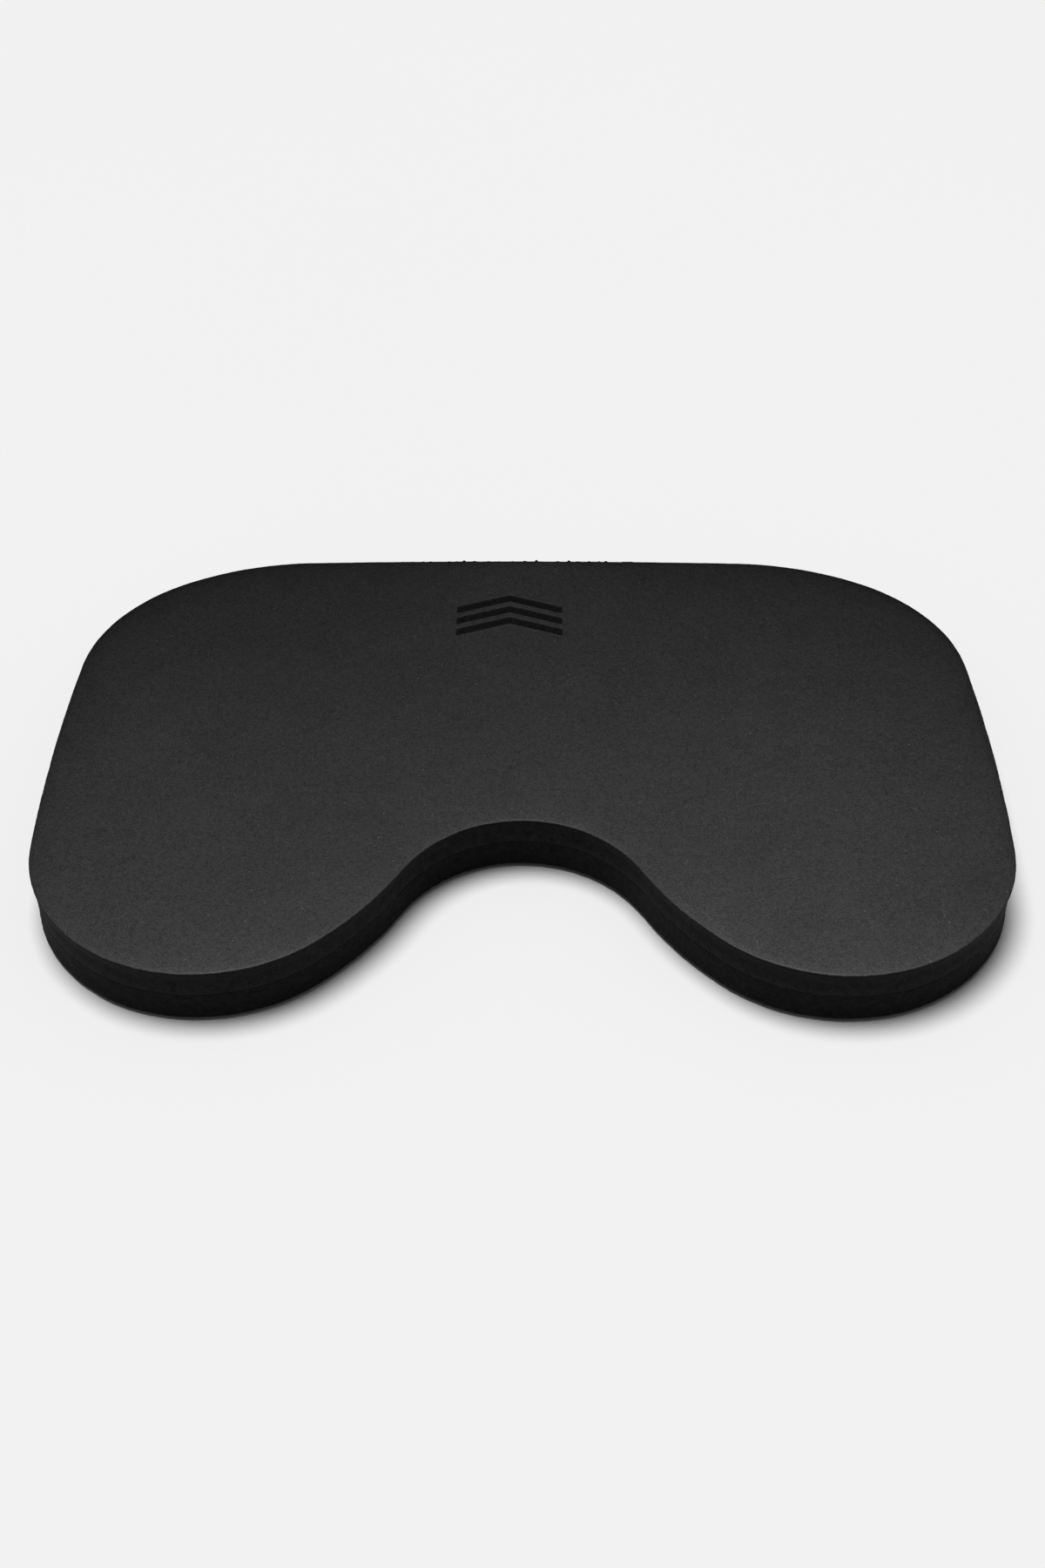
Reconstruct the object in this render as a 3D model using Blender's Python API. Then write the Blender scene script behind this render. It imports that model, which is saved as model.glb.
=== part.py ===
"""Seat pad for the sliding seat of a rowing machine.

Two equal sheets of black closed cell foam are bonded with a film of contact adhesive and die cut to a
rounded outline with one nearly straight edge, two lobes and a notch that clears the tailbone. Four strips
of self-adhesive loop tape underneath hold the pad on the seat.

+X is to the sitter's right, +Y is forward, towards the straight edge, and +Z is up. The origin is on the
surface that the tape strips stand on, under the middle of the outline.
"""

import math

import bmesh
import bpy

MM = 0.001

# Outline. Half of it runs from the crest of the notch, round the right lobe, to the middle of the front
# edge. Each arc is tangent to the one before it. A positive turn is round a convex stretch and a negative
# one is round the hollow of the notch. The front edge closes the half, so its radius follows from the rest.
NOTCH_CREST_ARC = (41.5 * MM, -34.5)
NOTCH_FLANK_ARC = (49.5 * MM, -26.7)
FLANK_STRAIGHT = 6.0 * MM
LOBE_SHOULDER_ARC = (122.5 * MM, 18.2)
LOBE_TIP_ARC = (56.5 * MM, 79.0)
LOBE_OUTER_ARC = (66.5 * MM, 51.1)
SIDE_ARC = (900.5 * MM, 6.6)
FRONT_CORNER_ARC = (69.5 * MM, 55.5)
FRONT_SHOULDER_ARC = (97.5 * MM, 28.9)
ARC_STEP_DEG = 5.0

# Stack, from the supporting surface up
TOUCH_GAP = 0.3 * MM
LOOP_TAPE_THICK = 0.8 * MM
TAPE_ADHESIVE_THICK = 0.2 * MM
SHEET_THICK = 9.5 * MM
BOND_THICK = 0.4 * MM
TAPE_ADHESIVE_Z = LOOP_TAPE_THICK + TOUCH_GAP
BASE_Z = TAPE_ADHESIVE_Z + TAPE_ADHESIVE_THICK + TOUCH_GAP
BOND_Z = BASE_Z + SHEET_THICK + TOUCH_GAP
CUSHION_Z = BOND_Z + BOND_THICK + TOUCH_GAP
TOP_Z = CUSHION_Z + SHEET_THICK

# Cut wall. The die squeezes the foam while it cuts, so the wall is drawn in at the waist and flares to the
# top rim, and the top rim is rounded where the skin turns over.
RIM_ROUND = 0.9 * MM
RIM_Z = TOP_Z - RIM_ROUND
WAIST_Z = BASE_Z + 9.0 * MM
WAIST_INSET = 1.2 * MM
FOOT_INSET = 0.9 * MM
BOND_RECESS = 0.15 * MM
BASE_WALL_STEPS = 4
CUSHION_WALL_STEPS = 5
RIM_STEPS = 4

# Debossed mark: nested chevrons that point to the front edge
CHEVRON_COUNT = 3
CHEVRON_HALF_WIDTH = 20.0 * MM
CHEVRON_RISE = 8.0 * MM
CHEVRON_STROKE = 4.2 * MM
CHEVRON_PITCH = 7.4 * MM
CHEVRON_DEPTH = 0.8 * MM
MARK_X = -5.5 * MM
MARK_FROM_FRONT = 37.5 * MM
CUTTER_RISE = 2.0 * MM

# Loop tape strips on the underside
TAPE_WIDTH = 25.0 * MM
TAPE_LENGTH = 75.0 * MM
TAPE_CORNER = 4.0 * MM
CORNER_STEPS = 5
ADHESIVE_MARGIN = 0.5 * MM
FRONT_TAPE_CENTRE = (78.0 * MM, 70.0 * MM)
REAR_TAPE_CENTRE = (106.0 * MM, -48.0 * MM)

# Material colours (linear RGB) and finish: colour, roughness, metallic
FOAM_SKIN = ((0.022, 0.022, 0.023), 0.62, 0.0)
FOAM_CORE = ((0.010, 0.010, 0.011), 0.85, 0.0)
CONTACT_ADHESIVE = ((0.045, 0.044, 0.043), 0.50, 0.0)
LOOP_PILE = ((0.014, 0.014, 0.015), 0.95, 0.0)
TAPE_ADHESIVE = ((0.240, 0.230, 0.200), 0.35, 0.0)


def clear_scene():
    """Removes every object, so that a second run starts afresh."""
    for obj in list(bpy.data.objects):
        bpy.data.objects.remove(obj, do_unlink=True)


def new_collection(name):
    """An empty collection under the scene's own."""
    collection = bpy.data.collections.get(name) or bpy.data.collections.new(name)
    if collection.name not in bpy.context.scene.collection.children:
        bpy.context.scene.collection.children.link(collection)
    return collection


def new_material(name, look):
    """A Principled BSDF material from (colour, roughness, metallic)."""
    colour, roughness, metallic = look
    material = bpy.data.materials.new(name)
    material.use_nodes = True
    shader = material.node_tree.nodes["Principled BSDF"]
    shader.inputs["Base Color"].default_value = (*colour, 1.0)
    shader.inputs["Roughness"].default_value = roughness
    shader.inputs["Metallic"].default_value = metallic
    return material


def half_outline():
    """Points of the right half as (x, y, heading), from the crest of the notch to the front edge's middle.

    The crest is at y = 0 here and the material is on the left of the heading.
    """
    runs = (
        NOTCH_CREST_ARC,
        NOTCH_FLANK_ARC,
        FLANK_STRAIGHT,
        LOBE_SHOULDER_ARC,
        LOBE_TIP_ARC,
        LOBE_OUTER_ARC,
        SIDE_ARC,
        FRONT_CORNER_ARC,
        FRONT_SHOULDER_ARC,
    )
    x, y, heading = 0.0, 0.0, 0.0
    points = [(x, y, heading)]
    for run in runs:
        if run is FLANK_STRAIGHT:
            x += run * math.cos(heading)
            y += run * math.sin(heading)
            points.append((x, y, heading))
            continue
        radius, turn = run
        arc = arc_points(x, y, heading, radius, math.radians(turn))
        points.extend(arc)
        x, y, heading = arc[-1]
    front_turn = math.pi - heading
    front_radius = x / math.sin(front_turn)
    points.extend(arc_points(x, y, heading, front_radius, front_turn))
    return points


def arc_points(x, y, heading, radius, turn):
    """Points along an arc that starts at (x, y) on this heading, without its first point."""
    side = math.copysign(1.0, turn)
    centre_x = x - side * radius * math.sin(heading)
    centre_y = y + side * radius * math.cos(heading)
    steps = max(2, math.ceil(abs(math.degrees(turn)) / ARC_STEP_DEG))
    points = []
    for i in range(1, steps + 1):
        angle = heading + turn * i / steps
        points.append(
            (centre_x + side * radius * math.sin(angle), centre_y - side * radius * math.cos(angle), angle)
        )
    return points


HALF = half_outline()
REAR_Y = min(y for _, y, _ in HALF)
FRONT_Y = max(y for _, y, _ in HALF)
MIDDLE_Y = (REAR_Y + FRONT_Y) / 2
HALF_DEPTH = (FRONT_Y - REAR_Y) / 2


def pad_ring(inset):
    """The closed outline, counterclockwise from the crest, moved in by inset, with the origin at its middle."""
    right = []
    for x, y, heading in HALF:
        right.append((x - inset * math.sin(heading), y + inset * math.cos(heading) - MIDDLE_Y))
    left = [(-x, y) for x, y in right[-2:0:-1]]
    return right + left


def wall_inset(z):
    """How far the cut wall lies inside the rim at height z, up to the rounding."""
    if z < WAIST_Z:
        share = (WAIST_Z - z) / (WAIST_Z - BASE_Z)
        return WAIST_INSET - (WAIST_INSET - FOOT_INSET) * share**2
    share = (z - WAIST_Z) / (RIM_Z - WAIST_Z)
    return WAIST_INSET * (1.0 - share**2)


def wall_sections(low, high, steps):
    """(inset, height) pairs up the cut wall."""
    heights = [low + (high - low) * i / steps for i in range(steps + 1)]
    return [(wall_inset(z), z) for z in heights]


def rim_sections():
    """(inset, height) pairs over the rounded rim, above the widest point."""
    angles = [math.pi / 2 * i / RIM_STEPS for i in range(1, RIM_STEPS + 1)]
    return [(RIM_ROUND * (1.0 - math.cos(a)), RIM_Z + RIM_ROUND * math.sin(a)) for a in angles]


def finish_object(name, mesh, material, collection):
    """Shades a mesh smooth with sharp edges, gives it its material and adds it to the scene."""
    mesh.shade_smooth()
    mesh.set_sharp_from_angle(angle=math.radians(35.0))
    mesh.materials.append(material)
    obj = bpy.data.objects.new(name, mesh)
    collection.objects.link(obj)
    return obj


def loft_pad(name, sections, material, collection):
    """A closed solid through the pad's outline at each (inset, height), with flat ends."""
    built = bmesh.new()
    rings = []
    for inset, z in sections:
        rings.append([built.verts.new((x, y, z)) for x, y in pad_ring(inset)])
    for lower, upper in zip(rings, rings[1:]):
        count = len(lower)
        for i in range(count):
            j = (i + 1) % count
            built.faces.new((lower[i], lower[j], upper[j], upper[i]))
    built.faces.new(rings[0][::-1])
    built.faces.new(rings[-1])
    mesh = bpy.data.meshes.new(name)
    built.to_mesh(mesh)
    built.free()
    return finish_object(name, mesh, material, collection)


def plate(name, outline, low, high, material, collection):
    """A flat outline as a filled 2D curve, extruded between two heights and made a closed mesh."""
    curve = bpy.data.curves.new(name + "_outline", "CURVE")
    curve.dimensions = "2D"
    curve.fill_mode = "BOTH"
    curve.extrude = (high - low) / 2
    spline = curve.splines.new("POLY")
    spline.points.add(len(outline) - 1)
    for point, (x, y) in zip(spline.points, outline):
        point.co = (x, y, 0.0, 1.0)
    spline.use_cyclic_u = True
    guide = bpy.data.objects.new(name + "_outline", curve)
    collection.objects.link(guide)
    guide.location.z = (low + high) / 2
    bpy.context.view_layer.update()
    mesh = bpy.data.meshes.new_from_object(guide.evaluated_get(bpy.context.evaluated_depsgraph_get()))
    mesh.name = name
    welded = bmesh.new()
    welded.from_mesh(mesh)
    bmesh.ops.remove_doubles(welded, verts=welded.verts, dist=0.01 * MM)
    bmesh.ops.recalc_face_normals(welded, faces=welded.faces)
    welded.to_mesh(mesh)
    welded.free()
    mesh.materials.clear()
    obj = finish_object(name, mesh, material, collection)
    obj.matrix_world = guide.matrix_world.copy()
    bpy.data.objects.remove(guide, do_unlink=True)
    bpy.data.curves.remove(curve)
    return obj


def rounded_rectangle(centre, size, corner):
    """Counterclockwise outline of a rectangle with round corners."""
    points = []
    reach_x = size[0] / 2 - corner
    reach_y = size[1] / 2 - corner
    signs = ((1, -1), (1, 1), (-1, 1), (-1, -1))
    for quarter, (sign_x, sign_y) in enumerate(signs):
        for i in range(CORNER_STEPS + 1):
            angle = math.pi / 2 * (quarter - 1 + i / CORNER_STEPS)
            points.append(
                (
                    centre[0] + sign_x * reach_x + corner * math.cos(angle),
                    centre[1] + sign_y * reach_y + corner * math.sin(angle),
                )
            )
    return points


def chevron(centre_x, tip_y):
    """Outline of one chevron whose outer tip is at (centre_x, tip_y) and points to +Y."""
    foot_y = tip_y - CHEVRON_RISE
    return [
        (centre_x, tip_y),
        (centre_x - CHEVRON_HALF_WIDTH, foot_y),
        (centre_x - CHEVRON_HALF_WIDTH, foot_y - CHEVRON_STROKE),
        (centre_x, tip_y - CHEVRON_STROKE),
        (centre_x + CHEVRON_HALF_WIDTH, foot_y - CHEVRON_STROKE),
        (centre_x + CHEVRON_HALF_WIDTH, foot_y),
    ]


def cut_mark(target, material, cutters):
    """Cuts the nested chevrons into the top skin."""
    mark_height = CHEVRON_RISE + CHEVRON_STROKE + (CHEVRON_COUNT - 1) * CHEVRON_PITCH
    first_tip = HALF_DEPTH - MARK_FROM_FRONT + mark_height / 2
    for index in range(CHEVRON_COUNT):
        outline = chevron(MARK_X, first_tip - index * CHEVRON_PITCH)
        name = f"mark_cutter_{index + 1}"
        cutter = plate(name, outline, TOP_Z - CHEVRON_DEPTH, TOP_Z + CUTTER_RISE, material, cutters)
        cutter.hide_render = True
        cutter.display_type = "WIRE"
        cut = target.modifiers.new(name, "BOOLEAN")
        cut.operation = "DIFFERENCE"
        cut.solver = "EXACT"
        cut.object = cutter


def add_tape(place, centre, size, loop_material, adhesive_material, collection):
    """One loop tape strip and the adhesive layer between it and the foam."""
    strip = rounded_rectangle(centre, size, TAPE_CORNER)
    plate("loop_tape_" + place, strip, 0.0, LOOP_TAPE_THICK, loop_material, collection)
    inner_size = (size[0] - 2 * ADHESIVE_MARGIN, size[1] - 2 * ADHESIVE_MARGIN)
    film = rounded_rectangle(centre, inner_size, TAPE_CORNER - ADHESIVE_MARGIN)
    top = TAPE_ADHESIVE_Z + TAPE_ADHESIVE_THICK
    plate("tape_adhesive_" + place, film, TAPE_ADHESIVE_Z, top, adhesive_material, collection)


def build():
    clear_scene()
    parts = new_collection("rower_seat_pad")
    cutters = new_collection("cutters")
    skin = new_material("foam_skin", FOAM_SKIN)
    core = new_material("foam_core", FOAM_CORE)
    bond = new_material("contact_adhesive", CONTACT_ADHESIVE)
    loop = new_material("loop_pile", LOOP_PILE)
    film = new_material("tape_adhesive", TAPE_ADHESIVE)

    base_sections = wall_sections(BASE_Z, BASE_Z + SHEET_THICK, BASE_WALL_STEPS)
    loft_pad("base_layer", base_sections, core, parts)

    bond_outline = pad_ring(wall_inset(BOND_Z) + BOND_RECESS)
    plate("bond_film", bond_outline, BOND_Z, BOND_Z + BOND_THICK, bond, parts)

    cushion_sections = wall_sections(CUSHION_Z, RIM_Z, CUSHION_WALL_STEPS) + rim_sections()
    cushion = loft_pad("cushion_layer", cushion_sections, skin, parts)
    cut_mark(cushion, core, cutters)

    for side, side_name in ((-1, "left"), (1, "right")):
        front = (side * FRONT_TAPE_CENTRE[0], FRONT_TAPE_CENTRE[1])
        rear = (side * REAR_TAPE_CENTRE[0], REAR_TAPE_CENTRE[1])
        add_tape("front_" + side_name, front, (TAPE_LENGTH, TAPE_WIDTH), loop, film, parts)
        add_tape("rear_" + side_name, rear, (TAPE_WIDTH, TAPE_LENGTH), loop, film, parts)


build()
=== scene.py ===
import math

import bpy
import numpy as np
from mathutils import Matrix, Vector, noise
from mathutils.geometry import delaunay_2d_cdt


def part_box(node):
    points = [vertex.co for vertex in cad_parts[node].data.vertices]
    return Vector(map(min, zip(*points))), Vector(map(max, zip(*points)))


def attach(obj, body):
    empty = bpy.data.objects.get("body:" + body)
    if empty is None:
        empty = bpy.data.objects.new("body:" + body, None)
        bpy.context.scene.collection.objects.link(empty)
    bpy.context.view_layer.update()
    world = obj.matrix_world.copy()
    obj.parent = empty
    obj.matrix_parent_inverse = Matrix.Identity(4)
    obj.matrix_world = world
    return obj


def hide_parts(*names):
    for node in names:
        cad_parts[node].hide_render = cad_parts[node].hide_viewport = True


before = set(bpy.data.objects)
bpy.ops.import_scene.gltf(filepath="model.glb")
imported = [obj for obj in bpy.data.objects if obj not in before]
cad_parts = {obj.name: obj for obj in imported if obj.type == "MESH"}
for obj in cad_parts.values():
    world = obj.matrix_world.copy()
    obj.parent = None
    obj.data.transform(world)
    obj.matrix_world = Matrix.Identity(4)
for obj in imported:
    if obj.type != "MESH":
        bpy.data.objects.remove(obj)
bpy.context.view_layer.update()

MM = 0.001

# Places and heights, all from the CAD nodes' boxes
BASE_LOW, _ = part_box("base_layer")
BOND_LOW, BOND_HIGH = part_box("bond_film")
CUSHION_LOW, CUSHION_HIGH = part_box("cushion_layer")
MIDDLE = (CUSHION_LOW + CUSHION_HIGH) / 2
TOP_Z = CUSHION_HIGH.z
FOOT_Z = BASE_LOW.z

# The outline's arcs as (radius, turn in degrees), from the crest of the notch round the right lobe to
# the front edge. Each is tangent to the one before it. The front edge's own arc closes the half. An arc
# with no turn is a straight of that length.
OUTLINE_ARCS = (
    (41.5 * MM, -34.5),
    (49.5 * MM, -26.7),
    (6.0 * MM, 0.0),
    (122.5 * MM, 18.2),
    (56.5 * MM, 79.0),
    (66.5 * MM, 51.1),
    (900.5 * MM, 6.6),
    (69.5 * MM, 55.5),
    (97.5 * MM, 28.9),
)

# The cut wall, as (share of the foam's height, inset from the CAD outline)
WALL_POINTS = (
    (0.00, 0.85 * MM),
    (0.03, 0.70 * MM),
    (0.22, 0.92 * MM),
    (0.42, 0.86 * MM),
    (0.50, 0.84 * MM),
    (0.58, 0.92 * MM),
    (0.76, 1.05 * MM),
    (0.88, 0.60 * MM),
    (0.95, -0.15 * MM),
    (0.98, -0.28 * MM),
)
WALL_SMOOTHING = 7
WALL_SPACING = 0.5 * MM
WALL_WAVE = 0.12 * MM
WALL_WAVE_SIZE = 9.0 * MM
WALL_PITS = 0.07 * MM
WALL_PIT_SIZE = 1.5 * MM
SEAM_WAVE = 0.14 * MM
SEAM_WAVE_SIZE = 16.0 * MM
DIE_SEED = 1
SEAM_SEED = 3

# The rounded rim and the soft pillow just inside it
RIM_ROUND = 0.55 * MM
RIM_STEPS = 5
PILLOW_WIDTH = 2.6 * MM
PILLOW_DROP = 0.12 * MM
PILLOW_STEPS = 6

# Reflectance of the moulded skin
SKIN_TONE = 0.0045

# Painted shade darkens the top toward the front and side edges: the loss of tone at the front edge, the
# width of the fade, the shares of it at the sides and at the middle of the front edge, and the most it
# can grow
EDGE_PAINTED_SHADE = 0.34
EDGE_PAINTED_SHADE_WIDTH = 12.0 * MM
SIDE_SHARE = 0.50
MIDDLE_SHARE = 0.35
FADE_LIMIT = 1.4

# A painted highlight makes the top lighter toward the back edge: the gain of tone and its width
BACK_PAINTED_HIGHLIGHT = 0.28
BACK_PAINTED_HIGHLIGHT_WIDTH = 4.0 * MM

# Broad patches where the top's colour is made a little lighter or darker: x, y and size in mm, and the
# gain of tone
TOP_TONE_PATCHES = (
    (0, 108, 28, 0.16),
    (-75, 55, 55, -0.08),
    (-60, -40, 40, -0.07),
    (105, -8, 40, 0.08),
    (-142, 10, 26, 0.13),
    (56, -98, 18, 0.18),
    (152, -76, 22, -0.13),
    (-90, -76, 28, -0.10),
)

# A dark line of painted shade runs along the front and side edges: the loss of tone, its width and its
# share at the sides
LINE_PAINTED_SHADE = 0.92
LINE_WIDTH = 1.15 * MM
LINE_SIDE_SHARE = 0.50

# Tone of the rim: paler at the back with a painted highlight, darker at the front with painted shade
RIM_PAINTED_TONE = 0.62
RIM_PAINTED_SWING = 0.72
RIM_PAINTED_RANGE = (0.1, 1.35)

# Burrs left by the die on the front edge
BURR_HEIGHT = 1.4 * MM
BURR_SIZE = 1.6 * MM
BURR_REACH = 52.0 * MM
BURR_THRESHOLD = 0.2
FRONT_FACING = 0.9

TOP_SPACING = 2.4 * MM
HIDDEN_SPACING = 4.8 * MM
TOP_WAVE = 0.05 * MM
TOP_WAVE_SIZE = 35.0 * MM

# The debossed generic mark
CHEVRON_COUNT = 3
CHEVRON_HALF_WIDTH = 20.0 * MM
CHEVRON_RISE = 8.0 * MM
CHEVRON_STROKE = 4.2 * MM
CHEVRON_PITCH = 7.4 * MM
CHEVRON_DEPTH = 0.8 * MM
MARK_X = -5.5 * MM
MARK_FROM_FRONT = 37.5 * MM
MARK_SPACING = 0.32 * MM
MARK_SHOULDER = 0.40 * MM
MARK_REACH = (22.0 * MM, 16.0 * MM)
LIP_HEIGHT = 0.07 * MM
LIP_WIDTH = 0.45 * MM

# Tape strips and their adhesive, as rounded slabs
TAPE_CORNER = 4.0 * MM
TAPE_EDGE = 0.15 * MM
TAPE_SPACING = 1.6 * MM
ADHESIVE_CORNER = 3.5 * MM
ADHESIVE_EDGE = 0.12 * MM
ADHESIVE_SPACING = 4.0 * MM
STRIP_OUTLINE_SPACING = 0.8 * MM
STRIP_FRAY = 0.06 * MM
STRIP_FRAY_SIZE = 1.5 * MM
STRIP_BOW = 0.03 * MM
STRIP_BOW_SIZE = 3.0 * MM

# The pile of loops under each strip. Ranges are shares of the pitch or of the room for the pile.
LOOP_PITCH = 0.85 * MM
LOOP_MARGIN = 1.3 * MM
LOOP_STEPS = 5
YARN_RADIUS = 0.07 * MM
YARN_SIDES = 4
LOOP_SHIFT = 0.35
LOOP_LEAN = 0.4
LOOP_WIDTHS = (0.55, 0.95)
LOOP_HEIGHTS = (0.62, 0.96)
LOOP_ROOT = 0.12 * MM
TAPE_BACKING_DROP = 0.15 * MM

# Camera
CAMERA_PLACE = (4.3 * MM, -609.3 * MM, 496.4 * MM)
CAMERA_PITCH = 39.0
CAMERA_YAW = 0.42
CAMERA_ROLL = -0.16
LENS_MM = 50.0


# ---------------------------------------------------------------- outline


def arc_points(x, y, heading, radius, turn, spacing):
    """Points along an arc or, with no turn, a straight, without the first point."""
    if turn == 0.0:
        steps = max(1, math.ceil(radius / spacing))
        runs = [radius * i / steps for i in range(1, steps + 1)]
        return [(x + run * math.cos(heading), y + run * math.sin(heading), heading) for run in runs]
    side = math.copysign(1.0, turn)
    centre_x = x - side * radius * math.sin(heading)
    centre_y = y + side * radius * math.cos(heading)
    steps = max(2, math.ceil(radius * abs(turn) / spacing))
    points = []
    for i in range(1, steps + 1):
        angle = heading + turn * i / steps
        point_x = centre_x + side * radius * math.sin(angle)
        point_y = centre_y - side * radius * math.cos(angle)
        points.append((point_x, point_y, angle))
    return points


def outline(spacing):
    """The closed widest outline, counterclockwise, as points (n, 2) and outward normals (n, 2)."""
    x, y, heading = 0.0, 0.0, 0.0
    half = [(x, y, heading)]
    for radius, turn in OUTLINE_ARCS:
        run = arc_points(x, y, heading, radius, math.radians(turn), spacing)
        half.extend(run)
        x, y, heading = run[-1]
    front_turn = math.pi - heading
    half.extend(arc_points(x, y, heading, x / math.sin(front_turn), front_turn, spacing))
    half = np.array(half)
    half[:, 1] -= (half[:, 1].min() + half[:, 1].max()) / 2
    right = np.stack([half[:, 0], half[:, 1], np.sin(half[:, 2]), -np.cos(half[:, 2])], 1)
    left = right[-2:0:-1] * (-1, 1, -1, 1)
    whole = np.vstack([right, left])
    return whole[:, :2] + (MIDDLE.x, MIDDLE.y), whole[:, 2:]


# ---------------------------------------------------------------- meshes


def smooth_noise(points, scale, seed):
    """Perlin noise, from -1 to 1, at each of the points (n, 3), for features of about this scale."""
    offset = Vector((seed * 17.3, seed * 5.1, seed * 9.7))
    return np.array([noise.noise(Vector(p) / scale + offset) for p in points])


def wall_inset(share):
    """Inset of the cut wall at a share of the foam's height, smooth between the listed points."""
    shares = np.array([s for s, _ in WALL_POINTS])
    insets = np.array([i for _, i in WALL_POINTS])
    fine = np.linspace(0.0, shares[-1], 200)
    values = np.interp(fine, shares, insets)
    kernel = np.hanning(2 * WALL_SMOOTHING + 1)
    kernel /= kernel.sum()
    padded = np.pad(values, WALL_SMOOTHING, "edge")
    return np.interp(share, fine, np.convolve(padded, kernel, "valid"))


def mark_inside(points):
    """How far inside the mark's strokes each of the points (n, 2) is, negative outside."""
    height = CHEVRON_RISE + CHEVRON_STROKE + (CHEVRON_COUNT - 1) * CHEVRON_PITCH
    first_tip = CUSHION_HIGH.y - MARK_FROM_FRONT + height / 2
    across = np.abs(points[:, 0] - MARK_X)
    slope = CHEVRON_RISE / CHEVRON_HALF_WIDTH
    square = 1 / math.hypot(1.0, slope)
    best = np.full(len(points), -np.inf)
    for index in range(CHEVRON_COUNT):
        tip = first_tip - index * CHEVRON_PITCH
        below_edge = tip - slope * across - points[:, 1]
        inside = np.minimum(below_edge, CHEVRON_STROKE - below_edge) * square
        best = np.maximum(best, np.minimum(inside, CHEVRON_HALF_WIDTH - across))
    return best


def press_mark(coords):
    """Presses the mark, with a faint lip, into points on the top (n, 3). Returns the pressed share."""
    inside = mark_inside(coords)
    share = np.clip(inside / MARK_SHOULDER + 0.5, 0.0, 1.0)
    share = share * share * (3 - 2 * share)
    lip = np.exp(-(((inside + 1.5 * LIP_WIDTH) / LIP_WIDTH) ** 2))
    coords[:, 2] += LIP_HEIGHT * lip - CHEVRON_DEPTH * share
    return share


def triangle_grid(low, high, step):
    """Points of a triangular grid over a rectangle."""
    xs = np.arange(low[0], high[0], step)
    ys = np.arange(low[1], high[1], step * math.sin(math.pi / 3))
    rows = [np.stack([xs + step / 2 * (row % 2), np.full(len(xs), y)], 1) for row, y in enumerate(ys)]
    return np.vstack(rows)


def cap_points(edge, spacing, fine_box=None, fine_spacing=None):
    """Grid points inside a closed edge (n, 2), kept clear of it, and finer inside fine_box."""
    coarse = triangle_grid(edge.min(0), edge.max(0), spacing)
    clear = edge_distance(coarse, edge)[0] > spacing / 2
    coarse = coarse[inside_polygon(coarse, edge) & clear]
    if fine_box is None:
        return coarse
    low, high = fine_box
    outside = ((coarse < low) | (coarse > high)).any(1)
    return np.vstack([coarse[outside], triangle_grid(low, high, fine_spacing)])


def inside_polygon(points, edge):
    """True for each point inside the closed edge, by counting crossings."""
    inside = np.zeros(len(points), bool)
    a, b = edge, np.roll(edge, -1, 0)
    for (ax, ay), (bx, by) in zip(a, b):
        if ay == by:
            continue
        between = (points[:, 1] < max(ay, by)) & (points[:, 1] >= min(ay, by))
        crossing = ax + (points[:, 1] - ay) * (bx - ax) / (by - ay)
        inside ^= between & (points[:, 0] < crossing)
    return inside


def edge_distance(points, edge):
    """Distance of each point to the nearest of the edge's points, and that point's index in the edge."""
    skip = 3
    thin = edge[::skip]
    distance = []
    nearest = []
    for block in np.array_split(points, math.ceil(len(points) / 4000)):
        gap = np.linalg.norm(block[:, None] - thin[None], axis=2)
        distance.append(gap.min(1))
        nearest.append(gap.argmin(1) * skip)
    return np.concatenate(distance), np.concatenate(nearest)


def patch_tone(points):
    """Tone of the top's broad lighter and darker patches at points (n, 2)."""
    tone = np.ones(len(points))
    for x, y, size, gain in TOP_TONE_PATCHES:
        reach = np.linalg.norm(points - (x * MM, y * MM), axis=1) / (size * MM)
        tone += gain * np.exp(-reach * reach)
    return tone


def edge_tone(points, edge, normals):
    """Tone of the top at points (n, 2): painted shade toward the front and side edges and in a dark line
    along them, a painted highlight along the back edge, and the broad lighter and darker patches.
    """
    distance, nearest = edge_distance(points, edge)
    ahead = normals[nearest, 1]
    out = np.abs(points[:, 0] - MIDDLE.x) / (CUSHION_HIGH.x - MIDDLE.x)
    spread = MIDDLE_SHARE + 2 * (1 - MIDDLE_SHARE) * np.clip(out, 0.0, 1.0)
    facing = (SIDE_SHARE + (1 - SIDE_SHARE) * ahead) * np.where(ahead > 0, spread, 1.0)
    painted_edge_shade = EDGE_PAINTED_SHADE * np.clip(facing, 0.0, FADE_LIMIT) * np.exp(-distance / EDGE_PAINTED_SHADE_WIDTH)
    # Painted shade in a thin dark line along the front and side edges
    line = LINE_PAINTED_SHADE * np.clip(LINE_SIDE_SHARE + ahead, 0.0, 1.0) * np.exp(-distance / LINE_WIDTH)
    painted_highlight = BACK_PAINTED_HIGHLIGHT * np.clip(-ahead, 0.0, 1.0) * np.exp(-distance / BACK_PAINTED_HIGHLIGHT_WIDTH)
    return (1 - painted_edge_shade) * (1 - line) * (1 + painted_highlight) * patch_tone(points)


def fill_cap(edge, inner):
    """Triangles over a closed edge and the points inside it, as triples into both together."""
    count = len(edge)
    points = [Vector(p) for p in np.vstack([edge, inner])]
    verts, _, faces, origins, _, _ = delaunay_2d_cdt(points, [], [list(range(count))], 1, 1e-7)
    if len(verts) != len(points):
        raise RuntimeError("the cap's points merged")
    order = [ids[0] for ids in origins]
    return [[order[i] for i in face] for face in faces]


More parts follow.
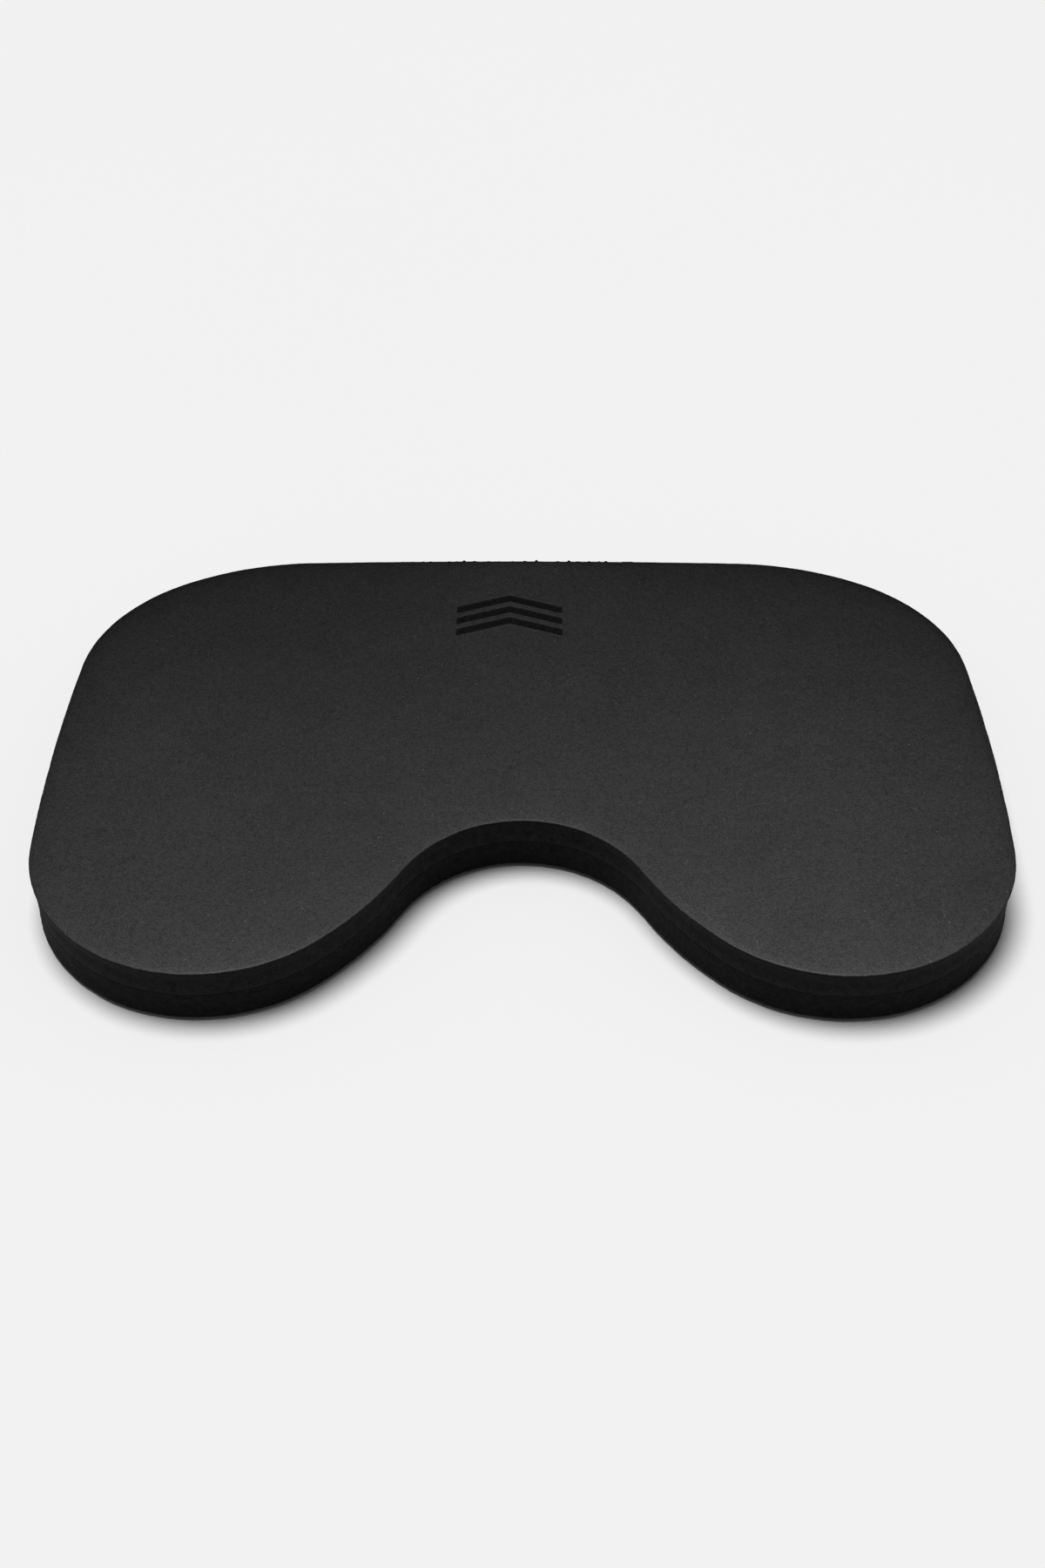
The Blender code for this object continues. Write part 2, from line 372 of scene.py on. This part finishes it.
def build_mesh(name, coords, faces, materials, face_slots, attributes=None):
    """A mesh object from coordinates and faces, shaded smooth."""
    mesh = bpy.data.meshes.new(name)
    mesh.from_pydata(coords, [], faces)
    for material in materials:
        mesh.materials.append(material)
    mesh.polygons.foreach_set("material_index", face_slots)
    for key, values in (attributes or {}).items():
        layer = mesh.attributes.new(key, "FLOAT", "POINT")
        layer.data.foreach_set("value", values)
    mesh.shade_smooth()
    mesh.validate()
    obj = bpy.data.objects.new(name, mesh)
    bpy.context.scene.collection.objects.link(obj)
    return obj


def ring_faces(rings, count):
    """Quads between consecutive rings of count points each."""
    faces = []
    for r in range(rings - 1):
        low, high = r * count, (r + 1) * count
        for i in range(count):
            j = (i + 1) % count
            faces.append((low + i, low + j, high + j, high + i))
    return faces


def wall_sections(low, high):
    """The cut wall in section, as (inset, height) from low to high."""
    steps = math.ceil((high - low) / WALL_SPACING)
    heights = [low + (high - low) * i / steps for i in range(steps + 1)]
    return [(float(wall_inset((z - FOOT_Z) / (TOP_Z - FOOT_Z))), z) for z in heights]


def rim_sections(start_inset, start_z):
    """The rounded rim and the pillow inside it, in section above the wall, as (inset, height)."""
    sections = []
    for i in range(1, RIM_STEPS + 1):
        angle = math.pi / 2 * i / RIM_STEPS
        inset = start_inset + RIM_ROUND * (1 - math.cos(angle))
        sections.append((inset, start_z + RIM_ROUND * math.sin(angle)))
    edge_inset, edge_z = sections[-1]
    for i in range(1, PILLOW_STEPS + 1):
        share = i / PILLOW_STEPS
        lift = 1 - (1 - share) ** 2
        sections.append((edge_inset + PILLOW_WIDTH * share, edge_z + (TOP_Z - edge_z) * lift))
    return sections


def roughen_wall(wall, normals, roughness, seed):
    """Moves the wall's points (n, 3) in and out along their normals, and waves the seam."""
    wave = WALL_WAVE * smooth_noise(wall, WALL_WAVE_SIZE, DIE_SEED)
    pits = roughness * WALL_PITS * smooth_noise(wall, WALL_PIT_SIZE, seed + 1)
    seam = SEAM_WAVE * smooth_noise(wall * (1, 1, 0), SEAM_WAVE_SIZE, SEAM_SEED)
    seam_z = (BOND_LOW.z + BOND_HIGH.z) / 2
    near_seam = np.clip(1 - np.abs(wall[:, 2] - seam_z) / (seam_z - FOOT_Z), 0.0, 1.0)
    wall[:, :2] += normals * (wave + pits)[:, None]
    wall[:, 2] += seam * near_seam


def raise_burrs(rim, normals, seed):
    """Lifts a few burrs from the rim's points (n, 3) along the middle of the front edge."""
    burr = np.clip(smooth_noise(rim, BURR_SIZE, seed) - BURR_THRESHOLD, 0.0, None)
    near_middle = np.clip(2 - 2 * np.abs(rim[:, 0]) / BURR_REACH, 0.0, 1.0)
    burr *= BURR_HEIGHT * near_middle * (normals[:, 1] > FRONT_FACING)
    rim[:, :2] += normals * burr[:, None]
    rim[:, 2] += 0.5 * burr


def add_cap(coords, faces, first, count, inner, z, downward):
    """Closes the ring of count points from first over inner points at height z. Returns all points."""
    offset = len(coords)
    for tri in fill_cap(coords[first : first + count, :2], inner):
        corners = [first + i if i < count else offset + i - count for i in tri]
        faces.append(corners[::-1] if downward else corners)
    return np.vstack([coords, np.column_stack([inner, np.zeros(len(inner)) + z])])


def close_sheet(coords, faces, sections, count, with_mark):
    """Closes the sheet's top and bottom. Returns the coordinates with the faces' inner points."""
    last = (len(sections) - 1) * count
    top_edge = coords[last : last + count, :2]
    if with_mark:
        middle = np.array((MARK_X, CUSHION_HIGH.y - MARK_FROM_FRONT))
        mark_box = (middle - MARK_REACH, middle + MARK_REACH)
        inner = cap_points(top_edge, TOP_SPACING, mark_box, MARK_SPACING)
    else:
        inner = cap_points(top_edge, HIDDEN_SPACING)
    coords = add_cap(coords, faces, last, count, inner, sections[-1][1], False)
    inner = cap_points(coords[:count, :2], HIDDEN_SPACING)
    return add_cap(coords, faces, 0, count, inner, sections[0][1], True)


def finish_top(coords, seed):
    """Waves the top and presses the mark into it. Returns the pressed share of each point (n, 3)."""
    pressed = np.zeros(len(coords))
    on_top = coords[:, 2] > TOP_Z - 0.5 * PILLOW_DROP
    surface = coords[on_top]
    surface[:, 2] -= TOP_WAVE * (0.5 + 0.5 * smooth_noise(surface * (1, 1, 0), TOP_WAVE_SIZE, seed))
    pressed[on_top] = press_mark(surface)
    coords[on_top] = surface
    return pressed


def foam_sheet(name, low, high, rim, materials, wall_painted_shading, roughness, seed):
    """One foam sheet: the cut wall between two heights and both faces. With rim, it has the moulded top.

    The wall's tone at shares of the sheet's height is given as (share, tone): painted shade and painted
    light on the cut wall.
    """
    base, normals = outline(WALL_SPACING)
    count = len(base)
    wall_top = TOP_Z - RIM_ROUND - PILLOW_DROP if rim else high
    sections = wall_sections(low, wall_top)
    wall_inset_end = sections[-1][0]
    wall_end = len(sections) * count
    if rim:
        sections += rim_sections(*sections[-1])
    coords = np.vstack([np.column_stack([base - normals * i, np.full(count, z)]) for i, z in sections])
    outward = np.tile(normals, (len(sections), 1))
    faces = ring_faces(len(sections), count)

    share = (coords[:wall_end, 2] - low) / (wall_top - low)
    tone = np.interp(share, [s for s, _ in wall_painted_shading], [v for _, v in wall_painted_shading])
    roughen_wall(coords[:wall_end], outward[:wall_end], roughness, seed)
    if rim:
        rim_end = wall_end + RIM_STEPS * count
        wall_shift = coords[wall_end - count : wall_end, :2] - (base - normals * wall_inset_end)
        coords[wall_end:rim_end, :2] += np.tile(wall_shift, (RIM_STEPS, 1))
        raise_burrs(coords[wall_end:rim_end], outward[wall_end:rim_end], seed + 4)
        # Painted highlight on the back of the rim and painted shade on its front, by which way the rim
        # faces
        rim_painted_tone = RIM_PAINTED_TONE - RIM_PAINTED_SWING * outward[wall_end:rim_end, 1]
        tone = np.concatenate([tone, np.clip(rim_painted_tone, *RIM_PAINTED_RANGE)])

    coords = close_sheet(coords, faces, sections, count, rim)
    tone = np.concatenate([tone, edge_tone(coords[len(tone) :, :2], base, normals)])
    pressed = finish_top(coords, seed + 2) if rim else np.zeros(len(coords))
    wall_faces = wall_end - count
    slots = [0 if i < wall_faces else 1 for i in range(len(faces))]
    attributes = {"pressed": pressed, "tone": tone}
    return build_mesh(name, coords.tolist(), faces, materials, slots, attributes)


def rounded_strip(low, high, corner, spacing):
    """Counterclockwise outline (n, 2) of a rectangle with round corners, and its outward normals."""
    points, normals = [], []
    quarter = math.pi / 2
    centres = (
        (high.x - corner, low.y + corner),
        (high.x - corner, high.y - corner),
        (low.x + corner, high.y - corner),
        (low.x + corner, low.y + corner),
    )
    steps = max(4, math.ceil(corner * quarter / spacing))
    for index, (cx, cy) in enumerate(centres):
        for i in range(steps + 1):
            angle = quarter * (index - 1 + i / steps)
            normals.append((math.cos(angle), math.sin(angle)))
            points.append((cx + corner * math.cos(angle), cy + corner * math.sin(angle)))
        next_x, next_y = centres[(index + 1) % 4]
        end = quarter * index
        start = np.array(points[-1])
        stop = np.array((next_x + corner * math.cos(end), next_y + corner * math.sin(end)))
        runs = max(1, math.ceil(float(np.linalg.norm(stop - start)) / spacing))
        for i in range(1, runs):
            points.append(tuple(start + (stop - start) * i / runs))
            normals.append((math.cos(end), math.sin(end)))
    return np.array(points), np.array(normals)


def strip_slab(low, high, z_low, z_high, corner, edge, grid, seed):
    """A thin slab with softened edges and a grid over its lower face: coordinates and faces."""
    base, normals = rounded_strip(low, high, corner, STRIP_OUTLINE_SPACING)
    count = len(base)
    sections = (
        (edge, z_low),
        (0.3 * edge, z_low + 0.3 * edge),
        (0.0, z_low + edge),
        (0.0, z_high - 0.5 * edge),
        (0.5 * edge, z_high),
    )
    coords = np.vstack([np.column_stack([base - normals * i, np.full(count, z)]) for i, z in sections])
    fray = STRIP_FRAY * smooth_noise(coords * (1, 1, 0), STRIP_FRAY_SIZE, seed)
    coords[:, :2] += np.tile(normals, (len(sections), 1)) * fray[:, None]
    faces = ring_faces(len(sections), count)
    last = (len(sections) - 1) * count
    for first, z, downward in ((0, z_low, True), (last, z_high, False)):
        inner = cap_points(coords[first : first + count, :2], grid)
        flat = np.column_stack([inner, np.zeros(len(inner))])
        bow = np.abs(STRIP_BOW * smooth_noise(flat, STRIP_BOW_SIZE, seed + 3)) if downward else 0.0
        coords = add_cap(coords, faces, first, count, inner, z + bow, downward)
    return coords, faces


def pile_loops(low, high, root_z, floor_z, seed):
    """Loops of yarn that hang from a strip's lower face: coordinates, faces and each point's tone."""
    random = np.random.default_rng(seed)
    xs = np.arange(low.x + LOOP_MARGIN, high.x - LOOP_MARGIN + 1e-9, LOOP_PITCH)
    ys = np.arange(low.y + LOOP_MARGIN, high.y - LOOP_MARGIN + 1e-9, LOOP_PITCH)
    centres = np.array([(x, y) for x in xs for y in ys])
    count = len(centres)
    centres += random.uniform(-LOOP_SHIFT, LOOP_SHIFT, (count, 2)) * LOOP_PITCH
    heading = random.uniform(0.0, 2 * math.pi, count)
    width = random.uniform(*LOOP_WIDTHS, count) * LOOP_PITCH
    height = random.uniform(*LOOP_HEIGHTS, count) * (root_z - floor_z - YARN_RADIUS)
    lean = random.uniform(-LOOP_LEAN, LOOP_LEAN, (count, 2)) * LOOP_PITCH
    tone = random.uniform(0.0, 1.0, count)
    along = np.stack([np.cos(heading), np.sin(heading)], 1)
    across = np.stack([-np.sin(heading), np.cos(heading)], 1)
    rings = []
    for step in range(LOOP_STEPS + 1):
        t = math.pi * step / LOOP_STEPS
        middle = centres + along * (width / 2 * math.cos(t))[:, None] + lean * math.sin(t)
        depth = height * math.sin(t) - LOOP_ROOT * (1 - math.sin(t))
        for side in range(YARN_SIDES):
            a = 2 * math.pi * side / YARN_SIDES
            out = YARN_RADIUS * math.cos(a)
            sideways = YARN_RADIUS * math.sin(a)
            spot = middle + along * (out * math.cos(t)) + across * sideways
            rings.append(np.column_stack([spot, root_z - depth - out * math.sin(t)]))
    stack = np.stack(rings, 1)
    per_loop = stack.shape[1]
    coords = stack.reshape(-1, 3)
    pattern = []
    for step in range(LOOP_STEPS):
        for side in range(YARN_SIDES):
            a = step * YARN_SIDES + side
            b = step * YARN_SIDES + (side + 1) % YARN_SIDES
            pattern.append((a, b, b + YARN_SIDES, a + YARN_SIDES))
    end = LOOP_STEPS * YARN_SIDES
    caps = [tuple(range(YARN_SIDES))[::-1], tuple(range(end, end + YARN_SIDES))]
    faces = []
    for i in range(count):
        start = i * per_loop
        faces.extend([tuple(start + k for k in face) for face in pattern + caps])
    return coords, faces, np.repeat(tone, per_loop)


def loop_tape(place, materials, seed):
    """A woven strip with its pile of loops, in the space of the CAD strip and the gap above it."""
    low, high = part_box("loop_tape_" + place)
    film_low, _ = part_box("tape_adhesive_" + place)
    backing_z = high.z - TAPE_BACKING_DROP
    shape = (TAPE_CORNER, TAPE_EDGE, TAPE_SPACING)
    coords, faces = strip_slab(low, high, backing_z, film_low.z, *shape, seed)
    slots = [0] * len(faces)
    pile, pile_faces, tone = pile_loops(low, high, backing_z, low.z, seed)
    offset = len(coords)
    faces += [tuple(offset + i for i in face) for face in pile_faces]
    slots += [1] * len(pile_faces)
    tones = np.concatenate([np.full(offset, 0.5), tone])
    coords = np.vstack([coords, pile])
    return build_mesh("loop_pile_" + place, coords.tolist(), faces, materials, slots, {"tone": tones})


def adhesive_layer(place, material, seed):
    """The adhesive between a strip and the foam, in the space of the CAD film and the gap above it."""
    low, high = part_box("tape_adhesive_" + place)
    shape = (ADHESIVE_CORNER, ADHESIVE_EDGE, ADHESIVE_SPACING)
    coords, faces = strip_slab(low, high, low.z, FOOT_Z, *shape, seed)
    return build_mesh("adhesive_" + place, coords.tolist(), faces, (material,), [0] * len(faces))


# ---------------------------------------------------------------- materials


class Nodes:
    """A short way to build a material's nodes."""

    def __init__(self, name):
        self.material = bpy.data.materials.new(name)
        self.material.use_nodes = True
        self.tree = self.material.node_tree
        self.shader = self.tree.nodes["Principled BSDF"]
        self.place = self.add("ShaderNodeTexCoord").outputs["Object"]

    def add(self, kind, **values):
        node = self.tree.nodes.new(kind)
        for key, value in values.items():
            setattr(node, key, value)
        return node

    def link(self, source, target):
        self.tree.links.new(source, target)

    def set(self, name, value):
        self.shader.inputs[name].default_value = value

    def noise(self, size, detail=2.0, roughness=0.5):
        node = self.add("ShaderNodeTexNoise")
        node.inputs["Scale"].default_value = 1.0 / size
        node.inputs["Detail"].default_value = detail
        node.inputs["Roughness"].default_value = roughness
        self.link(self.place, node.inputs["Vector"])
        return node.outputs["Fac"]

    def cells(self, size, feature="F1", output="Distance"):
        node = self.add("ShaderNodeTexVoronoi", feature=feature)
        node.inputs["Scale"].default_value = 1.0 / size
        self.link(self.place, node.inputs["Vector"])
        return node.outputs[output]

    def specks(self, spacing, radius, rarity):
        """A mask of small round dots in some of the cells of this spacing, with a radius in cells."""
        near = self.math("LESS_THAN", self.cells(spacing), radius)
        chosen = self.math("GREATER_THAN", self.cells(spacing, output="Color"), rarity)
        return self.math("MULTIPLY", near, chosen)

    def math(self, operation, a, b=0.0):
        node = self.add("ShaderNodeMath", operation=operation)
        for socket, value in zip(node.inputs, (a, b)):
            if isinstance(value, (int, float)):
                socket.default_value = value
            else:
                self.link(value, socket)
        return node.outputs[0]

    def remap(self, source, low, high, to_low, to_high):
        node = self.add("ShaderNodeMapRange")
        node.inputs["From Min"].default_value = low
        node.inputs["From Max"].default_value = high
        node.inputs["To Min"].default_value = to_low
        node.inputs["To Max"].default_value = to_high
        self.link(source, node.inputs["Value"])
        return node.outputs["Result"]

    def mix(self, share, a, b):
        node = self.add("ShaderNodeMix", data_type="RGBA")
        factor, first, second = node.inputs[0], node.inputs[6], node.inputs[7]
        for socket, value in ((factor, share), (first, a), (second, b)):
            if isinstance(value, (int, float)):
                socket.default_value = value
            elif isinstance(value, tuple):
                socket.default_value = (*value, 1.0)
            else:
                self.link(value, socket)
        return node.outputs[2]

    def bump(self, height, distance, strength=1.0, before=None):
        node = self.add("ShaderNodeBump")
        node.inputs["Strength"].default_value = strength
        node.inputs["Distance"].default_value = distance
        self.link(height, node.inputs["Height"])
        if before is not None:
            self.link(before, node.inputs["Normal"])
        return node.outputs["Normal"]

    def attribute(self, name):
        node = self.add("ShaderNodeAttribute", attribute_name=name)
        return node.outputs["Fac"]


def grey(value):
    return (value, value, value)


def skin_material():
    """The moulded skin on the foam: matte, with a fine pebble, faint clouding and a few light specks."""
    n = Nodes("foam_skin")
    fine = n.noise(0.65 * MM, 2.0, 0.6)
    coarse = n.noise(1.6 * MM, 2.0, 0.5)
    cloud = n.noise(24 * MM, 3.0, 0.55)
    tone = n.math("ADD", n.remap(fine, 0.3, 0.7, -0.45, 0.45), n.remap(coarse, 0.3, 0.7, -0.18, 0.18))
    tone = n.math("ADD", tone, n.remap(cloud, 0.3, 0.7, -0.07, 0.07))
    # The tone attribute brings in painted shade and painted highlight at the top's edges and rim
    tone = n.math("MULTIPLY", n.math("ADD", tone, 1.0), n.attribute("tone"))
    base = n.mix(n.remap(tone, 0.0, 2.0, 0.0, 1.0), grey(0.0), grey(2 * SKIN_TONE))
    base = n.mix(n.specks(3.0 * MM, 0.085, 0.66), base, grey(0.015))
    # The pressed mark is darker: partly the pressed skin's own colour, partly painted shade in the
    # recess
    dark = n.mix(n.remap(coarse, 0.3, 0.7, 0.0, 1.0), grey(0.0), grey(0.2 * SKIN_TONE))
    n.link(n.mix(n.attribute("pressed"), base, dark), n.shader.inputs["Base Color"])
    rougher = n.math("MULTIPLY", n.attribute("pressed"), 0.4)
    rough = n.math("ADD", n.remap(fine, 0.25, 0.75, 0.44, 0.58), rougher)
    n.link(rough, n.shader.inputs["Roughness"])
    n.set("Specular IOR Level", 0.03)
    pebble = n.cells(0.8 * MM, feature="SMOOTH_F1")
    bump = n.bump(pebble, 0.06 * MM, 0.5)
    bump = n.bump(fine, 0.10 * MM, 0.6, bump)
    bump = n.bump(coarse, 0.08 * MM, 0.4, bump)
    n.link(bump, n.shader.inputs["Normal"])
    return n.material


def cut_material(name, dark, light, cell_size):
    """Foam cut by the die: open cells, rough and nearly without shine."""
    n = Nodes(name)
    cell = n.cells(cell_size)
    fine = n.noise(0.5 * MM, 3.0, 0.65)
    blotch = n.noise(2.6 * MM, 3.0, 0.6)
    tone = n.math("ADD", n.remap(cell, 0.1, 0.7, 0.0, 0.40), n.remap(fine, 0.3, 0.7, -0.05, 0.30))
    tone = n.math("ADD", tone, n.remap(blotch, 0.3, 0.7, -0.10, 0.50))
    # The tone attribute brings in painted shade and painted light on the cut wall
    base = n.mix(n.math("MULTIPLY", tone, n.attribute("tone")), grey(dark), grey(light))
    base = n.mix(n.specks(2.4 * MM, 0.10, 0.66), base, grey(0.022))
    n.link(base, n.shader.inputs["Base Color"])
    n.link(n.remap(fine, 0.3, 0.7, 0.78, 0.95), n.shader.inputs["Roughness"])
    n.set("Specular IOR Level", 0.10)
    bump = n.bump(cell, 0.20 * MM, 0.7)
    bump = n.bump(fine, 0.10 * MM, 0.5, bump)
    n.link(bump, n.shader.inputs["Normal"])
    return n.material


def simple_material(name, dark, light, roughness, specular, size):
    """A finish with a cloudy tone."""
    n = Nodes(name)
    cloud = n.noise(size, 3.0, 0.6)
    n.link(n.mix(n.remap(cloud, 0.3, 0.7, 0.0, 1.0), dark, light), n.shader.inputs["Base Color"])
    n.link(n.remap(cloud, 0.3, 0.7, roughness - 0.08, roughness + 0.08), n.shader.inputs["Roughness"])
    n.set("Specular IOR Level", specular)
    n.link(n.bump(cloud, 0.05 * MM, 0.4), n.shader.inputs["Normal"])
    return n.material


def weave_material():
    """The tape's woven backing: black nylon threads over and under each other."""
    n = Nodes("tape_weave")
    split = n.add("ShaderNodeSeparateXYZ")
    n.link(n.place, split.inputs[0])
    turns = 2 * math.pi / (0.55 * MM)
    warp = n.math("SINE", n.math("MULTIPLY", split.outputs[0], turns))
    weft = n.math("SINE", n.math("MULTIPLY", split.outputs[1], turns))
    height = n.math("MULTIPLY", warp, weft)
    fuzz = n.noise(0.3 * MM, 2.0, 0.6)
    tone = n.math("ADD", n.remap(height, -1.0, 1.0, 0.1, 0.7), n.remap(fuzz, 0.3, 0.7, -0.1, 0.2))
    n.link(n.mix(tone, grey(0.006), grey(0.022)), n.shader.inputs["Base Color"])
    n.link(n.remap(fuzz, 0.3, 0.7, 0.55, 0.75), n.shader.inputs["Roughness"])
    n.set("Specular IOR Level", 0.3)
    n.link(n.bump(height, 0.12 * MM, 0.7), n.shader.inputs["Normal"])
    return n.material


def yarn_material():
    """The pile's nylon yarn: black with a soft shine, each loop a little lighter or darker."""
    n = Nodes("loop_yarn")
    fuzz = n.noise(0.2 * MM, 2.0, 0.6)
    tone = n.math("ADD", n.math("MULTIPLY", n.attribute("tone"), 0.7), n.remap(fuzz, 0.3, 0.7, 0.0, 0.3))
    n.link(n.mix(tone, grey(0.007), grey(0.030)), n.shader.inputs["Base Color"])
    n.link(n.remap(fuzz, 0.3, 0.7, 0.45, 0.6), n.shader.inputs["Roughness"])
    n.set("Sheen Weight", 0.25)
    n.set("Sheen Roughness", 0.5)
    n.link(n.bump(fuzz, 0.03 * MM, 0.5), n.shader.inputs["Normal"])
    return n.material


# ---------------------------------------------------------------- pieces

skin = skin_material()
upper_cut = cut_material("foam_cut_upper", 0.0018, 0.0150, 0.8 * MM)
lower_cut = cut_material("foam_cut_lower", 0.0011, 0.0102, 1.1 * MM)
bond = simple_material("bond_line", grey(0.011), grey(0.017), 0.85, 0.1, 2 * MM)

# Painted shading of the cut walls, as (share of height, tone): on the upper wall painted light toward
# the bond and painted shade under the rim, on the lower wall painted shade toward its foot by the floor
UPPER_WALL_PAINTED_SHADING = ((0.0, 1.35), (0.12, 1.3), (0.3, 1.0), (0.6, 0.9), (0.8, 0.65), (0.93, 0.35), (1.0, 0.2))
LOWER_WALL_PAINTED_SHADE = ((0.0, 0.5), (0.12, 0.8), (0.6, 1.0), (1.0, 1.0))
FLAT_SHADES = ((0.0, 1.0), (1.0, 1.0))
cushion = foam_sheet(
    "cushion_foam", BOND_HIGH.z, TOP_Z, True, (upper_cut, skin), UPPER_WALL_PAINTED_SHADING, roughness=1.0, seed=1
)
base_foam = foam_sheet(
    "base_foam", FOOT_Z, BOND_LOW.z, False, (lower_cut, lower_cut), LOWER_WALL_PAINTED_SHADE, roughness=2.0, seed=5
)
film = foam_sheet(
    "bond_line", BOND_LOW.z, BOND_HIGH.z, False, (bond, bond), FLAT_SHADES, roughness=0.5, seed=9
)

made = [
    (cushion, "cushion_layer", "foam_skin"),
    (base_foam, "base_layer", "foam_core"),
    (film, "bond_film", "contact_adhesive"),
]
weave = weave_material()
yarn = yarn_material()
glue = simple_material("tape_adhesive", grey(0.30), grey(0.38), 0.35, 0.5, 3 * MM)
for seed, place in enumerate(("front_left", "front_right", "rear_left", "rear_right")):
    tape = loop_tape(place, (weave, yarn), seed + 21)
    made.append((tape, "loop_tape_" + place, "loop_pile"))
    layer = adhesive_layer(place, glue, seed + 41)
    made.append((layer, "tape_adhesive_" + place, "tape_adhesive"))
for piece, node, slot in made:
    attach(piece, "root")
    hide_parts(node)


# ---------------------------------------------------------------- stage


def add_floor():
    """A plain pale floor that fills the view."""
    half = 6.0
    corners = [(-half, -half, 0), (half, -half, 0), (half, half, 0), (-half, half, 0)]
    mesh = bpy.data.meshes.new("floor")
    mesh.from_pydata(corners, [], [(0, 1, 2, 3)])
    floor = bpy.data.objects.new("floor", mesh)
    bpy.context.scene.collection.objects.link(floor)
    n = Nodes("floor")
    cloud = n.noise(0.4, 2.0, 0.5)
    n.link(n.mix(cloud, grey(0.810), grey(0.820)), n.shader.inputs["Base Color"])
    n.set("Roughness", 0.9)
    n.set("Specular IOR Level", 0.1)
    mesh.materials.append(n.material)


def add_sun(name, azimuth, elevation, angle, strength):
    """A large soft light far away, at this azimuth (0 is ahead, +Y) and elevation in degrees."""
    light = bpy.data.lights.new(name, "SUN")
    light.angle = math.radians(angle)
    light.energy = strength
    lamp = bpy.data.objects.new(name, light)
    bpy.context.scene.collection.objects.link(lamp)
    a, e = math.radians(azimuth), math.radians(elevation)
    towards = Vector((math.sin(a) * math.cos(e), math.cos(a) * math.cos(e), math.sin(e)))
    lamp.rotation_euler = towards.to_track_quat("Z", "Y").to_euler()
    lamp.location = towards * 2.0


def add_world(value, seen):
    """An even dim surround, which the camera sees as a pale one."""
    world = bpy.data.worlds.new("studio")
    world.use_nodes = True
    tree = world.node_tree
    path = tree.nodes.new("ShaderNodeLightPath")
    shade = tree.nodes.new("ShaderNodeMix")
    shade.data_type = "RGBA"
    shade.inputs[6].default_value = (*grey(value), 1.0)
    shade.inputs[7].default_value = (*grey(seen), 1.0)
    tree.links.new(path.outputs["Is Camera Ray"], shade.inputs[0])
    tree.links.new(shade.outputs[2], tree.nodes["Background"].inputs["Color"])
    bpy.context.scene.world = world


def add_camera():
    """The camera, turned by its yaw, pitch and roll."""
    data = bpy.data.cameras.new("camera")
    data.lens = LENS_MM
    data.clip_end = 50.0
    camera = bpy.data.objects.new("camera", data)
    bpy.context.scene.collection.objects.link(camera)
    turn = (
        Matrix.Rotation(math.radians(CAMERA_YAW), 4, "Z")
        @ Matrix.Rotation(math.radians(90.0 - CAMERA_PITCH), 4, "X")
        @ Matrix.Rotation(math.radians(CAMERA_ROLL), 4, "Z")
    )
    camera.matrix_world = Matrix.Translation(CAMERA_PLACE) @ turn
    bpy.context.scene.camera = camera


def add_top_light(target, reach, place, strength, pieces):
    """A soft pool of light on these pieces alone, brightest at the target, gone at this reach."""
    light = bpy.data.lights.new("top_light", "SPOT")
    away = Vector(place) - Vector(target)
    light.spot_size = 2 * math.atan(reach / away.length)
    light.spot_blend = 1.0
    light.shadow_soft_size = 0.25
    light.energy = strength * 4 * math.pi * away.length**2
    lamp = bpy.data.objects.new("top_light", light)
    bpy.context.scene.collection.objects.link(lamp)
    lamp.location = place
    lamp.rotation_euler = away.to_track_quat("Z", "Y").to_euler()
    lamp.visible_camera = False
    receivers = bpy.data.collections.new("top_light_receivers")
    for piece in pieces:
        receivers.objects.link(piece)
    lamp.light_linking.receiver_collection = receivers


add_floor()
add_sun("key", azimuth=-45.0, elevation=79.5, angle=32.0, strength=3.09)
add_top_light(
    target=(0.047, -0.515, 0.0),
    reach=0.785,
    place=(0.0, 0.10, 1.6),
    strength=27.0,
    pieces=(cushion, base_foam, film),
)
add_world(0.12, 0.88)
add_camera()
bpy.context.scene.view_settings.view_transform = "Standard"
